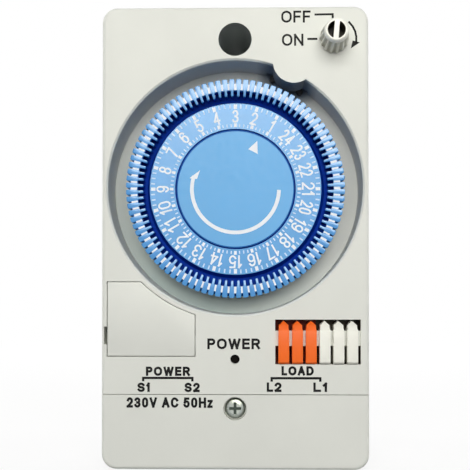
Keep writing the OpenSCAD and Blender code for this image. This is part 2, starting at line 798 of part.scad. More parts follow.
module motor_pinion() {
  color(brass) upright() {
    disc(motor_x, arbor_y, plate_z - 3.5, wheel_top + gear_overlap, motor_shaft_r);
    gear(
      motor_x, arbor_y, wheel_low - gear_overlap, wheel_top + gear_overlap,
      gear_m, motor_teeth, 180 / motor_teeth, motor_shaft_r - 0.1
    );
  }
}

module motor_screws() {
  color(steel) upright() for (s = [-1, 1])
    screw(motor_x, arbor_y + s * ear_y, plate_z - 1, 1.8, 1, 1, plate_t + 1.4, -1);
}

module movement_plate() {
  color(steel) upright() difference() {
    box(plate_x0, plate_x1, plate_y0, plate_y1, plate_z, plate_top);
    disc(0, dial_y, 0, case_d, post_boss_r + 1);
    disc(0, arbor_y, 0, case_d, arbor_r + run_gap);
    disc(motor_x, arbor_y, 0, case_d, motor_shaft_r + 0.6);
    for (p = pillars) disc(p[0], p[1], 0, case_d, 0.95);
    for (s = [-1, 1]) disc(motor_x, arbor_y + s * ear_y, 0, case_d, 1.05);
  }
}

module plate_screws() {
  color(steel) upright()
    for (p = pillars) screw(p[0], p[1], plate_top, 1.7, 1, 0.85, plate_t + 4, 1);
}

module switch_knob() {
  color(ivory) upright() translate([knob_x, knob_y, 0]) difference() {
    rotate_extrude() polygon([
      [0, knob_low], [knob_foot_r, knob_low], [knob_foot_r, knob_cone_low],
      [knob_tip_r, knob_cone_low + knob_cone_h], [knob_tip_r - 0.2, knob_top - 0.2],
      [knob_tip_r - 0.4, knob_top], [0, knob_top],
    ]);
    for (i = [0:knob_flutes - 1]) rotate([0, 0, 360 / knob_flutes * (i + 0.5)])
      translate([knob_foot_r + flute_r - flute_d, 0, knob_cone_low])
        rotate([0, -knob_slope, 0]) translate([0, 0, -3])
          cylinder(r = flute_r, h = knob_cone_h + 2.4);
    difference() {
      translate([0, 0, knob_top - knob_hollow_d]) cylinder(r = knob_hollow_r, h = knob_h);
      rotate([0, 0, -knob_bar_turn])
        translate([-knob_bar_w / 2, -5, case_d]) cube([knob_bar_w, 10, knob_h]);
    }
    translate([0, 0, knob_low - 1]) cylinder(r = shaft_r + 0.02, h = shaft_top + 1.2 - knob_low);
  }
}

module switch_shaft() {
  color(ivory) upright() disc(knob_x, knob_y, shaft_low + 0.2, shaft_top, shaft_r);
}

module switch_gear() {
  color(ivory) upright() gear(
    knob_x, knob_y, switch_gear_low, switch_gear_top, switch_m, switch_teeth,
    switch_dir, shaft_r + 0.02
  );
}

module switch_cam() {
  color(orange) upright() translate([knob_x, knob_y, cam_low]) difference() {
    linear_extrude(cam_t) polygon([
      for (a = [0:6:354]) polar(cam_low_r + cam_rise * pow(sin(a), 2), a)
    ]);
    translate([0, 0, -1]) cylinder(r = shaft_r + 0.02, h = cam_t + 2);
  }
}

module trip_star() {
  color(ivory) upright() {
    disc(star_x, star_y, shaft_low + 0.2, star_shaft_top, star_shaft_r);
    translate([star_x, star_y, star_low]) {
      cylinder(r = star_shaft_r + 1, h = star_t);
      for (i = [0:3]) rotate([0, 0, 45 - boss_turn + 90 * i]) {
        translate([0, -0.7, 0]) cube([star_r - 0.7, 1.4, star_t]);
        translate([star_r - 0.7, 0, 0]) cylinder(r = 0.7, h = star_t);
      }
    }
  }
}

module trip_gear() {
  color(ivory) upright() gear(
    star_x, star_y, switch_gear_low, switch_gear_top, switch_m, switch_teeth,
    switch_dir + 180 + 180 / switch_teeth, star_shaft_r + 0.02
  );
}

module switch_block() {
  color(black) upright() difference() {
    box(block_x0, block_x1, block_y0, block_y1, back_t, block_top);
    disc(knob_x, knob_y, shaft_low, case_d, shaft_r + run_gap);
    disc(star_x, star_y, shaft_low, case_d, star_shaft_r + run_gap);
    for (x = [moving_x, fixed_x])
      box(x - 0.05, x + blade_t + 0.05, blade_y0 - 0.05, blade_y0 + blade_w + 0.05, blade_low, case_d);
  }
}

module moving_contact() {
  color(brass) upright() {
    box(moving_x, moving_x + blade_t, blade_y0, blade_y0 + blade_w, blade_low, blade_top);
    translate([moving_x - rivet_t, knob_y, rivet_z])
      rotate([0, 90, 0]) cylinder(r = rivet_r, h = rivet_t + blade_t / 2);
  }
}

module fixed_contact() {
  color(brass) upright() {
    box(fixed_x, fixed_x + blade_t, blade_y0, blade_y0 + blade_w, blade_low, blade_top);
    translate([fixed_x + blade_t / 2, knob_y, rivet_z])
      rotate([0, 90, 0]) cylinder(r = rivet_r, h = rivet_t + blade_t / 2);
  }
}

module terminal_block() {
  color(black) upright() difference() {
    box(-term_block_w / 2, term_block_w / 2, term_y0, term_y1, back_t, barrier_top);
    for (x = terminal_x)
      box(x - term_w / 2, x + term_w / 2, term_y0 - 1, term_y1 + 1, term_z, barrier_top + 1);
    box(-term_mid_x, term_mid_x, term_y0 - 1, term_y1 + 1, back_t + 3, barrier_top + 1);
    disc(0, mount_y, 0, case_d, mount_r + 1.35);
    for (x = terminal_x) disc(x, term_screw_y, term_z - 7, term_z + 1, 1.55);
  }
}

module terminal_strips() {
  color(brass) upright() for (x = terminal_x) difference() {
    box(
      x - strip_w / 2, x + strip_w / 2, term_screw_y - 3.4, strip_y1, term_z, term_z + strip_t
    );
    disc(x, term_screw_y, 0, case_d, 1.55);
  }
}

module terminal_washers() {
  color(brass) upright() for (x = terminal_x) difference() {
    box(
      x - washer_w / 2, x + washer_w / 2, term_screw_y - washer_w / 2,
      term_screw_y + washer_w / 2, term_z + strip_t, term_z + strip_t + washer_t
    );
    disc(x, term_screw_y, 0, case_d, 1.55);
  }
}

module terminal_screws() {
  color(steel) upright() for (x = terminal_x)
    screw(x, term_screw_y, term_z + strip_t + washer_t, 2.6, 2, 1.5, strip_t + washer_t + 6, 1);
}

module supply_leads() {
  color(black) upright() for (x = [terminal_x[0], terminal_x[1]])
    disc(x, strip_y1 - 1.2, term_z + strip_t, board_z, lead_r);
}

module load_leads() {
  color(black) upright() for (i = [0, 1]) {
    run_x = case_screws_at[1][0] - case_boss_r - lead_r - 0.5 - 2.2 * i;
    foot_y = strip_y1 - 1.2;
    low_z = term_z + strip_t + 2;
    x = terminal_x[3 - i];
    lead([
      [x, foot_y, term_z + strip_t + lead_r], [x, foot_y, low_z + 3 * i],
      [run_x, foot_y, low_z + 3 * i], [run_x, block_y0 - 3, low_z + 3 * i],
      [run_x, block_y0 - 3, back_t + 4], [run_x, block_y0 - lead_r, back_t + 4],
    ]);
  }
}

module power_board() {
  color([0.1, 0.35, 0.18]) upright() difference() {
    box(board_x0, board_x1, board_y0, board_y1, board_z, board_top);
    for (p = board_screws) disc(p[0], p[1], 0, case_d, 0.9);
  }
}

module board_parts() {
  color(black) upright() {
    mid_y = (board_y0 + board_y1) / 2;
    part_h = (board_y1 - board_y0) * 0.4;
    part_w = (board_x1 - board_x0) * 0.16;
    part_z = board_z - plate_top - 2;
    disc(board_x1 * 0.5, mid_y + part_h * 0.4, board_z - 0.8 * part_z, board_z, part_h * 0.7);
    box(0, part_w, mid_y - part_h / 2, mid_y + part_h / 2, board_z - 1.8, board_z);
    box(-1.8 * part_w, -0.8 * part_w, mid_y, mid_y + part_h, board_z - part_z / 2, board_z);
  }
}

module board_screws() {
  color(steel) upright()
    for (p = board_screws) screw(p[0], p[1], board_z, 1.7, 1, 0.8, board_t + 3.6, -1);
}

module power_led() {
  color([0.25, 0.05, 0.05]) upright() {
    disc(0, led_y, board_top, board_top + 2, 1.6);
    disc(0, led_y, board_top + 1.9, case_d - 1.3, led_r - 0.1);
  }
}

// Setting pin: a clip that straddles the rack bar, with a sloped point at its upper end.
module setting_pin(i, shade) {
  tip_h = 2.1;
  neck = pin_w * 0.44;
  c = 0.12;
  color(shade) upright() translate([pin_x0 + pin_pitch * i, 0, 0]) intersection() {
    rotate([90, 0, 90]) linear_extrude(pin_w, center = true) polygon([
      [pin_y0, pin_low], [rack_bar_y0 - c, pin_low], [rack_bar_y0 - c, rack_bar_top + c],
      [rack_bar_y1 + c, rack_bar_top + c], [rack_bar_y1 + c, pin_low], [pin_y1, pin_low],
      [pin_y1, case_d - 0.9], [pin_y1 - tip_h, pin_front], [pin_y0 + 0.4, pin_front],
      [pin_y0, pin_front - 0.4],
    ]);
    linear_extrude(case_d + 9) polygon([
      [-pin_w / 2, pin_y0], [pin_w / 2, pin_y0], [pin_w / 2, pin_y1 - tip_h],
      [neck, pin_y1 - tip_h + 0.4], [neck, pin_y1 - 0.95], [0, pin_y1],
      [-neck, pin_y1 - 0.95], [-neck, pin_y1 - tip_h + 0.4], [-pin_w / 2, pin_y1 - tip_h],
    ]);
  }
}

module on_pin_1() {
  setting_pin(0, orange);
}

module on_pin_2() {
  setting_pin(1, orange);
}

module on_pin_3() {
  setting_pin(2, orange);
}

module off_pin_1() {
  setting_pin(3, ivory);
}

module off_pin_2() {
  setting_pin(4, ivory);
}

module off_pin_3() {
  setting_pin(5, ivory);
}

front_case();
rear_case();
case_screws();
terminal_cover();
cover_screw();
battery_lid();
backup_cell();
cell_contacts();
dial_ring();
scale_disc();
dial_hub();
dial_gear();
clutch_spring();
retaining_clip();
pointer_disc();
center_post();
intermediate_gear();
intermediate_arbor();
motor();
motor_pinion();
motor_screws();
movement_plate();
plate_screws();
switch_knob();
switch_shaft();
switch_gear();
switch_cam();
trip_star();
trip_gear();
switch_block();
moving_contact();
fixed_contact();
terminal_block();
terminal_strips();
terminal_washers();
terminal_screws();
supply_leads();
load_leads();
power_board();
board_parts();
board_screws();
power_led();
on_pin_1();
on_pin_2();
on_pin_3();
off_pin_1();
off_pin_2();
off_pin_3();
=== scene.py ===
"""Looks of a wall-mounted day time switch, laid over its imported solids.

Lengths in the helpers are face millimetres: x to the right, y up, z out of the front.
FACE turns them into the metres of the frame, where the front faces -Y and +Z is up.
"""

import json
from math import cos, dist, hypot, radians, sin
from typing import NamedTuple

import bmesh
import bpy
from bpy.props import FloatProperty, FloatVectorProperty, PointerProperty
from mathutils import Matrix, Vector


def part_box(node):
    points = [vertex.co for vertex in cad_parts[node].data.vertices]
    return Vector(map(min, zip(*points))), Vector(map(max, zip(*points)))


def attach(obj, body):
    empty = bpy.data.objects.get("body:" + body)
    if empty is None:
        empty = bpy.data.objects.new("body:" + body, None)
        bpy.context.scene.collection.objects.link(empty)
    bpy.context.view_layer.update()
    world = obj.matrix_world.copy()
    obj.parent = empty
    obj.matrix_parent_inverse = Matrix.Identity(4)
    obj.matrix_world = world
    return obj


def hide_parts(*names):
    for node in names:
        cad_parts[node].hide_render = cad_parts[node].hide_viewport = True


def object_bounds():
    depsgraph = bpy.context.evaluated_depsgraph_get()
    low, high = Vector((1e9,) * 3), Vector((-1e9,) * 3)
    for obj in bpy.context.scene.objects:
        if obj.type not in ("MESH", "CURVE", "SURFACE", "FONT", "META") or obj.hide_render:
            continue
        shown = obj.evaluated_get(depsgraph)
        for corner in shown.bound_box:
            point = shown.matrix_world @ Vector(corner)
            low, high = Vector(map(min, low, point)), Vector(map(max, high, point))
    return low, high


bl_info = {
    "name": "Day time switch",
    "version": (1, 0, 0),
    "blender": (4, 5, 0),
    "location": "3D View > Sidebar > Time switch",
    "description": "Dresses a day time switch with its dial, print, finishes and stage",
    "category": "Object",
}

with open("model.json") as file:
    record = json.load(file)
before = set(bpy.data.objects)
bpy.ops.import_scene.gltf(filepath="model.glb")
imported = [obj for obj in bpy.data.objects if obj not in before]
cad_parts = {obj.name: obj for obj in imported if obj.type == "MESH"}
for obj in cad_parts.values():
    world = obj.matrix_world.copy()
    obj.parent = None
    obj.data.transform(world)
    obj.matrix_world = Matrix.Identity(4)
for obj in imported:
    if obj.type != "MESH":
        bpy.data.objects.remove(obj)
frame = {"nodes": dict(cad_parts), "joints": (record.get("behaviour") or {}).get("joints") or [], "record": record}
CAD_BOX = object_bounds()

# Places and sizes from the frame

MM = 0.001
FACE = Matrix.Scale(MM, 4) @ Matrix.Rotation(radians(90), 4, "X")
JOINTS = {joint["name"]: joint for joint in frame["joints"]}
MOUNTS = {mount["name"]: mount for mount in frame["record"]["mounts"]}


def face_place(row):
    """Where a joint or a mount lies on the face, in millimetres."""
    x, _, z = row["pos_m"]
    return x / MM, z / MM


DIAL_Y = face_place(JOINTS["dial_turn"])[1]
DIAL = Matrix.Translation((0, DIAL_Y, 0))
KNOB_X, KNOB_Y = face_place(JOINTS["knob_turn"])
BOSS_X, BOSS_Y = face_place(JOINTS["trip_turn"])
TUBE_Y = face_place(MOUNTS["top_screw_hole"])[1]


def face_box(node):
    """Lowest and highest corner of a CAD node, in face millimetres."""
    low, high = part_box(node)
    return Vector((low.x, low.z, -high.y)) / MM, Vector((high.x, high.z, -low.y)) / MM


def radii(node):
    """Least and greatest distance of a CAD node's points from the dial axis."""
    points = frame["nodes"][node].data.vertices
    lengths = [hypot(p.co.x / MM, p.co.z / MM - DIAL_Y) for p in points]
    return min(lengths), max(lengths)


FRONT_Z = face_box("front_case")[1].z
WELL_DEPTH = 11.8
WELL_Z = FRONT_Z - WELL_DEPTH
DISC_TOP = face_box("scale_disc")[1].z
POINTER_R = radii("pointer_disc")[1]
KNOB_TOP = face_box("switch_knob")[1].z
RING_LOW, RING_TOP = (corner.z for corner in face_box("dial_ring"))
RIB_IN, RIB_OUT = radii("dial_ring")
RIBS = 96
TIP_LENGTH = 1
WEB_WIDTH = 1.6
WEB_OUT = RIB_OUT - TIP_LENGTH
WEB_IN = WEB_OUT - WEB_WIDTH

# Print is a thin film, half sunk in its surface; a hair parts films that cross.
PRINT_T = 0.05
HAIR = 0.01

# Properties


def srgb(red, green, blue):
    """Linear colour of an eight-bit screen colour."""
    parts = [channel / 255 for channel in (red, green, blue)]
    return tuple(c / 12.92 if c <= 0.04045 else ((c + 0.055) / 1.055) ** 2.4 for c in parts)


def number_prop(label, about, value, **more):
    """A number from nought up, shown in the sidebar."""
    return FloatProperty(name=label, description=about, default=value, min=0, **more)


def size_prop(label, about, millimetres):
    """A length shown in the sidebar."""
    return number_prop(label, about, millimetres * MM, unit="LENGTH", precision=5)


def power_prop(label, about, watts):
    """A lamp's power shown in the sidebar."""
    return number_prop(label, about, watts, unit="POWER")


def colour_prop(label, about, colour):
    """A colour shown in the sidebar."""
    return FloatVectorProperty(
        name=label, description=about, default=colour, size=3, min=0, max=1, subtype="COLOR"
    )


class DialLook(bpy.types.PropertyGroup):
    """Sizes and colours of the dial and its print"""
    numeral_h: size_prop("Numeral height", "Height of the hour numerals", 2.95)
    numeral_r: size_prop("Numeral radius", "Radius of the middle of the numerals", 16.65)
    numeral_w: size_prop("Numeral line", "Line weight of the hour numerals", 0.4)
    hour_w: size_prop("Hour tick", "Width of the hour ticks", 0.72)
    quarter_w: size_prop("Quarter tick", "Width of the quarter-hour ticks", 0.34)
    rib_bevel: size_prop("Rib bevel", "Rounding of the upper edges of the ring", 0.07)
    ring: colour_prop("Ring blue", "Ribbed ring", srgb(64, 145, 211))
    blue: colour_prop("Scale blue", "Disc with the hours", srgb(90, 163, 222))
    sky: colour_prop("Pointer blue", "Fixed disc in the middle", srgb(86, 163, 218))
    navy: colour_prop("Hub navy", "Dark hub under the ring", srgb(3, 54, 156))
    print_white: colour_prop("Print", "White print on the dial", srgb(244, 247, 250))


class CaseLook(bpy.types.PropertyGroup):
    """Sizes and colours of the case, its labels and the small pieces on it"""
    edge: size_prop("Edge rounding", "Rounding of the lid edges", 0.15)
    pin_edge: size_prop("Pin rounding", "Rounding of the pin and knob edges", 0.07)
    thin_w: size_prop("Thin line", "Line weight of the words and lines at the knob", 0.46)
    bold_w: size_prop("Bold line", "Line weight of the other words and lines", 0.53)
    shell: colour_prop("Shell", "Warm grey case moulding", srgb(222, 223, 215))
    ink: colour_prop("Label ink", "Black print on the face", srgb(20, 20, 21))
    orange: colour_prop("On pins", "Orange setting pins", srgb(255, 111, 37))
    ivory: colour_prop("Off pins", "White setting pins and knob", srgb(246, 245, 233))
    steel: colour_prop("Steel", "Plated screws and shafts", srgb(172, 178, 173))


class StageLook(bpy.types.PropertyGroup):
    """Camera, lights and floor"""
    lens: number_prop("Lens", "Focal length", 71.3, unit="CAMERA")
    key_power: power_prop("Key light", "Power of the soft light in front", 4.5)
    sheen_power: power_prop("Sheen", "Power of the soft light that glossy faces mirror", 4.5)
    side_power: power_prop("Side lights", "Power of each side light, and measure of the rest", 1.7)
    ambient: number_prop("Ambient", "Strength of the even light from all round", 0.015)
    floor: colour_prop("Floor", "Pale floor", srgb(247, 247, 246))
    glow: number_prop("Floor white", "Share of plain white in the floor by the object", 0.85, max=1)


# Materials


class Bore(NamedTuple):
    """A round hollow whose painted shade has a soft edge and shrinks upwards by a taper."""
    x: float
    y: float
    radius: float
    low: float
    high: float
    shade: tuple
    soft: float = 0.01
    taper: float = 0


class Trough(NamedTuple):
    """A square hollow with painted shade."""
    x0: float
    x1: float
    y0: float
    y1: float
    low: float
    high: float
    shade: tuple


def fill(node, values):
    """Sets inputs of a shader node by name, where an underscore stands for a blank."""
    for socket, value in values.items():
        node.inputs[socket.replace("_", " ")].default_value = value


def tinted(colour, share):
    """A colour made lighter or darker by a share."""
    return tuple(min(1, max(0, c * (1 + share))) for c in colour)


class Nodes:
    """Short way to make and link the nodes of one material."""

    def __init__(self, name):
        self.material = bpy.data.materials.new(name)
        self.material.use_nodes = True
        self.tree = self.material.node_tree
        self.shader = self.tree.nodes["Principled BSDF"]
        self.coords = self.add("ShaderNodeTexCoord").outputs["Object"]

    def add(self, kind, **values):
        """A new node with some of its inputs set."""
        made = self.tree.nodes.new(kind)
        fill(made, values)
        return made

    def link(self, start, end):
        self.tree.links.new(start, end)

    def stretched(self, scale):
        """Object coordinates drawn out along the axes."""
        mapping = self.add("ShaderNodeMapping", Scale=scale)
        self.link(self.coords, mapping.inputs["Vector"])
        return mapping.outputs["Vector"]

    def noise(self, scale, detail=2.0, rough=0.5, vector=None):
        """Noise of a scale per metre, on the object's coordinates or drawn-out ones."""
        made = self.add("ShaderNodeTexNoise", Scale=scale, Detail=detail, Roughness=rough)
        self.link(vector or self.coords, made.inputs["Vector"])
        return made.outputs["Fac"]

    def spread(self, factor, low, high, start=0.3, stop=0.7):
        """A factor's middle range drawn out between two values."""
        made = self.add(
            "ShaderNodeMapRange", From_Min=start, From_Max=stop, To_Min=low, To_Max=high
        )
        self.link(factor, made.inputs["Value"])
        return made.outputs["Result"]

    def maths(self, operation, *values):
        """One step of arithmetic on sockets or numbers."""
        made = self.add("ShaderNodeMath")
        made.operation = operation
        for socket, value in zip(made.inputs, values):
            if isinstance(value, (int, float)):
                socket.default_value = value
            else:
                self.link(value, socket)
        return made.outputs[0]

    def paint(self, factor, colour, darker, lighter, reach=0.2):
        """Base colour that runs from darker to lighter within a reach of the factor's middle."""
        made = self.add("ShaderNodeValToRGB")
        stops = (0.5 - reach, -darker), (0.5 + reach, lighter)
        for spot, (place, share) in zip(made.color_ramp.elements, stops):
            spot.position = place
            spot.color = (*tinted(colour, share), 1)
        self.link(factor, made.inputs["Fac"])
        self.link(made.outputs["Color"], self.shader.inputs["Base Color"])

    def dull(self, factor, low, high):
        """Roughness between two values."""
        self.link(self.spread(factor, low, high), self.shader.inputs["Roughness"])

    def bump(self, height, strength, depth):
        """Raised and sunk places, of a depth in metres."""
        made = self.add("ShaderNodeBump", Strength=strength, Distance=depth)
        self.link(height, made.inputs["Height"])
        self.link(made.outputs["Normal"], self.shader.inputs["Normal"])

    def darken(self, hollow):
        """Paints a hollow's shade over the base colour, between the hollow's two heights."""
        split = self.add("ShaderNodeSeparateXYZ")
        self.link(self.coords, split.inputs[0])

        def within(axis, start, stop):
            middle, half = (start + stop) / 2 * MM, (stop - start) / 2 * MM
            return self.maths("COMPARE", split.outputs[axis], middle, half)

        if isinstance(hollow, Bore):
            across = self.maths("SUBTRACT", split.outputs["X"], hollow.x * MM)
            up = self.maths("SUBTRACT", split.outputs["Z"], hollow.y * MM)
            squares = self.maths("MULTIPLY", across, across), self.maths("MULTIPLY", up, up)
            away = self.maths("SQRT", self.maths("ADD", *squares))
            away = self.maths("MULTIPLY_ADD", split.outputs["Y"], -hollow.taper, away)
            radius = hollow.radius + hollow.taper * hollow.low
            inside = self.spread(away, 1, 0, (radius - hollow.soft) * MM, radius * MM)
        else:
            sides = within("X", hollow.x0, hollow.x1), within("Z", hollow.y0, hollow.y1)
            inside = self.maths("MULTIPLY", *sides)
        mix = self.add("ShaderNodeMix")
        mix.data_type = "RGBA"
        share, plain, dark = (socket for socket in mix.inputs if socket.enabled)
        dark.default_value = (*hollow.shade, 1)
        colour = self.shader.inputs["Base Color"]
        self.link(self.maths("MULTIPLY", inside, within("Y", -hollow.high, -hollow.low)), share)
        self.link(colour.links[0].from_socket, plain)
        self.link(next(socket for socket in mix.outputs if socket.enabled), colour)

    def finished(self, hollows=()):
        """The material, with painted shade in its hollows."""
        for hollow in hollows:
            self.darken(hollow)
        return self.material


def moulded(
    name, colour, tone=0.03, roughness=(0.46, 0.56), grain=1800, depth=0.00003, specular=0.4,
    hollows=(),
):
    """Satin moulding: fine spark-eroded grain and a faint cloudiness of the pigment."""
    n = Nodes(name)
    n.paint(n.noise(55, 3), colour, tone, tone)
    pits = n.noise(grain)
    n.dull(pits, *roughness)
    n.bump(pits, 0.35, depth)
    fill(n.shader, {"Specular IOR Level": specular})
    return n.finished(hollows)


def polished(name, colour, tone, roughness, coat=0.0, specular=0.5, hollows=()):
    """Smooth moulding with slow flow lines and a light sheen of handling."""
    n = Nodes(name)
    flow = n.noise(90, 4, 0.6, n.stretched((1, 1, 2.5)))
    n.paint(flow, colour, tone, tone)
    n.dull(n.noise(600, 3), *roughness)
    n.bump(n.noise(240), 0.12, 0.00004)
    fill(n.shader, {"Specular IOR Level": specular, "Coat Weight": coat, "Coat Roughness": 0.22})
    return n.finished(hollows)


def plated(name, colour, along=(40, 40, 900), roughness=(0.24, 0.4), hollows=()):
    """Bare or plated metal with drawn lines and small dull patches."""
    n = Nodes(name)
    lines = n.noise(5, 3, 0.6, n.stretched(along))
    n.paint(lines, colour, 0.16, 0.08, 0.25)
    n.dull(n.noise(420, 3), *roughness)
    n.bump(lines, 0.15, 0.00003)
    fill(n.shader, {"Metallic": 1})
    return n.finished(hollows)


def ink(name, colour, tone):
    """Pad print: nearly even, with the faint mottle of a thin film."""
    n = Nodes(name)
    n.paint(n.noise(1400, 3), colour, tone, tone, 0.25)
    n.dull(n.noise(2200), 0.4, 0.6)
    fill(n.shader, {"Specular IOR Level": 0.12})
    return n.finished()


def laminate(name, colour):
    """Coated board with the weave of its glass cloth showing through."""
    n = Nodes(name)
    weave = n.add("ShaderNodeTexWave", Scale=900, Distortion=0.6)
    n.link(n.coords, weave.inputs["Vector"])
    n.paint(weave.outputs["Fac"], colour, 0.15, 0.1, 0.3)
    n.dull(n.noise(300), 0.3, 0.45)
    n.bump(weave.outputs["Fac"], 0.1, 0.00003)
    return n.finished()


# Materials by slot of the record, by kind of print or by special piece; the first operator fills it.
FINISHES = {}

# Mesh helpers

# Points nearer than this are one; strokes part at sharper turns; arcs have a point every few degrees.
TOUCH = 1e-6
SHARP_TURN = radians(100)
ARC_STEP = 15


def film(surface):
    """Lowest and highest z of the print on a surface."""
    return surface - PRINT_T / 2, surface + PRINT_T / 2


def draw_out(bm, faces, height):
    """Draws flat faces out along z into a closed block."""
    made = bmesh.ops.extrude_face_region(bm, geom=faces, use_keep_orig=True)
    moved = [item for item in made["geom"] if isinstance(item, bmesh.types.BMVert)]
    bmesh.ops.translate(bm, verts=moved, vec=(0, 0, height))


def bar(bm, width, y0, y1, z0, z1, matrix):
    """A thin block, centred across its width and moved by a matrix."""
    middle = Matrix.Translation((0, (y0 + y1) / 2, (z0 + z1) / 2))
    scale = Matrix.Diagonal((width, y1 - y0, z1 - z0, 1))
    bmesh.ops.create_cube(bm, size=1, matrix=matrix @ middle @ scale)


def plate(bm, points, z0, z1, matrix=Matrix()):
    """A thin plate with a straight-sided outline."""
    corners = [bm.verts.new(matrix @ Vector((x, y, z0))) for x, y in points]
    draw_out(bm, [bm.faces.new(corners)], z1 - z0)


def band(bm, r0, r1, start, sweep, z0, z1, steps, matrix):
    """A flat arc between two radii; angles run counter-clockwise from the right."""
    corners = [(r0, z0), (r1, z0), (r1, z1), (r0, z1)]
    turn = matrix @ Matrix.Rotation(radians(start), 4, "Z")
    verts = [bm.verts.new(turn @ Vector((r, 0, z))) for r, z in corners]
    bmesh.ops.spin(
        bm, geom=[bm.faces.new(verts)], cent=matrix.translation, axis=(0, 0, 1),
        angle=radians(sweep), steps=steps, use_merge=False, use_duplicate=False,
    )


def around(radius, degrees):
    """Place on the dial: turned counter-clockwise from the top, at a radius."""
    return DIAL @ Matrix.Rotation(radians(degrees), 4, "Z") @ Matrix.Translation((0, radius, 0))


def legs(path):
    """Unit directions from each point of a path to the next."""
    return [(b - a).normalized() for a, b in zip(path, path[1:])]


def ribbon(bm, path, half, z0, z1, matrix):
    """A flat line of even width along points, with square ends or closed on itself."""
    closed = (path[0] - path[-1]).length < TOUCH
    ways = legs(path)
    ends = (ways[-1], ways[0]) if closed else (ways[0], ways[-1])
    rails = []
    for here, into, out in zip(path, [ends[0], *ways], [*ways, ends[1]]):
        side = (into + out).orthogonal().normalized()
        side *= half / side.dot(out.orthogonal())
        rails.append((here + side, here - side))
    if closed:
        rails.pop()
    else:
        rails[0] = [point - ways[0] * half for point in rails[0]]
        rails[-1] = [point + ways[-1] * half for point in rails[-1]]
    lift = Vector((0, 0, z0))
    verts = [[bm.verts.new(matrix @ (point.to_3d() + lift)) for point in pair] for pair in rails]
    following = verts[1:] + verts[:1] if closed else verts[1:]
    faces = [bm.faces.new((a[0], a[1], b[1], b[0])) for a, b in zip(verts, following)]
    draw_out(bm, faces, z1 - z0)


def stroke(bm, points, half, z0, z1, matrix=Matrix()):
    """Ribbons along points, parted at sharp corners, each a hair higher than the last.

    Gives back the height for the next one.
    """
    path = [Vector(points[0])]
    path += [Vector(b) for a, b in zip(points, points[1:]) if dist(a, b) > TOUCH]
    ways = legs(path)
    start = 0
    for i in range(1, len(path)):
        if i == len(ways) or ways[i - 1].angle(ways[i]) > SHARP_TURN:
            ribbon(bm, path[start:i + 1], half, z0, z1, matrix)
            z1 += HAIR
            start = i
    return z1


def arc(u, v, wide, high, start, end):
    """Points on an ellipse between two angles in degrees."""
    steps = max(2, round(abs(end - start) / ARC_STEP))
    turns = [radians(start + (end - start) * i / steps) for i in range(steps + 1)]
    return [(u + wide * cos(turn), v + high * sin(turn)) for turn in turns]


def oval(u, v, wide, high):
    """A closed ellipse."""
    return arc(u, v, wide, high, 0, 360)


def tall_oval(round_h):
    """A closed oval as tall as a sign, with half ellipses above and below straight sides."""
    top = arc(0.5, 1 - round_h, 0.5, round_h, 0, 180)
    return [*top, *arc(0.5, round_h, 0.5, round_h, 180, 360), (1, 1 - round_h)]


STEM = [(0, 0), (0, 1)]
BOWL = [(0, 1), (0.6, 1), *arc(0.6, 0.74, 0.4, 0.26, 75, -75), (0.6, 0.48), (0, 0.48)]
# Each sign has a width and the middle lines of its strokes, in a cell of width and height one.
SIGNS = {
    " ": (0.2, []),
    "0": (0.56, [tall_oval(0.34)]),
    "1": (0.3, [[(0, 0.76), (0.9, 1), (0.9, 0)]]),
    "2": (0.56, [[*arc(0.5, 0.7, 0.5, 0.3, 165, -35), (0, 0), (1, 0)]]),
    "3": (0.56, [
        [*arc(0.48, 0.75, 0.46, 0.25, 160, -90), *arc(0.48, 0.25, 0.52, 0.25, 90, -160)],
    ]),
    "4": (0.6, [[(0.74, 0), (0.74, 1), (0, 0.28), (1, 0.28)]]),
    "5": (0.56, [
        [(0.92, 1), (0.16, 1), (0.07, 0.52), *arc(0.48, 0.32, 0.52, 0.32, 125, -155)],
    ]),
    "6": (0.56, [
        [*arc(0.52, 0.66, 0.5, 0.34, 25, 180), (0.02, 0.32)], oval(0.5, 0.31, 0.5, 0.31),
    ]),
    "7": (0.54, [[(0, 1), (1, 1), (0.35, 0)]]),
    "8": (0.56, [oval(0.5, 0.75, 0.44, 0.25), oval(0.5, 0.26, 0.5, 0.26)]),
    "9": (0.56, [
        [*arc(0.48, 0.34, 0.5, 0.34, 205, 360), (0.98, 0.68)], oval(0.5, 0.69, 0.5, 0.31),
    ]),
    "A": (0.68, [[(0, 0), (0.5, 1), (1, 0)], [(0.2, 0.32), (0.8, 0.32)]]),
    "C": (0.68, [
        [*arc(0.5, 0.62, 0.5, 0.38, 25, 180), *arc(0.5, 0.38, 0.5, 0.38, 180, 335)],
    ]),
    "D": (0.68, [
        [(0, 0), (0, 1), (0.45, 1), *arc(0.45, 0.5, 0.55, 0.5, 75, -75), (0.45, 0), (0, 0)],
    ]),
    "E": (0.58, [[(1, 1), (0, 1), (0, 0), (1, 0)], [(0, 0.53), (0.92, 0.53)]]),
    "F": (0.55, [[(1, 1), (0, 1), (0, 0)], [(0, 0.5), (0.88, 0.5)]]),
    "H": (0.66, [STEM, [(1, 0), (1, 1)], [(0, 0.52), (1, 0.52)]]),
    "L": (0.52, [[(0, 1), (0, 0), (1, 0)]]),
    "N": (0.66, [[(0, 0), (0, 1), (1, 0), (1, 1)]]),
    "O": (0.74, [tall_oval(0.4)]),
    "P": (0.6, [STEM, BOWL]),
    "R": (0.64, [STEM, BOWL, [(0.55, 0.48), (1, 0)]]),
    "S": (0.62, [
        [*arc(0.5, 0.75, 0.48, 0.25, 20, 270), *arc(0.5, 0.25, 0.5, 0.25, 90, -160)],
    ]),
    "V": (0.66, [[(0, 1), (0.5, 0), (1, 1)]]),
    "W": (0.92, [[(0, 1), (0.25, 0), (0.5, 0.95), (0.75, 0), (1, 1)]]),
    "z": (0.46, [[(0, 0.7), (1, 0.7), (0, 0), (1, 0)]]),
}
SIGN_GAP = 0.12


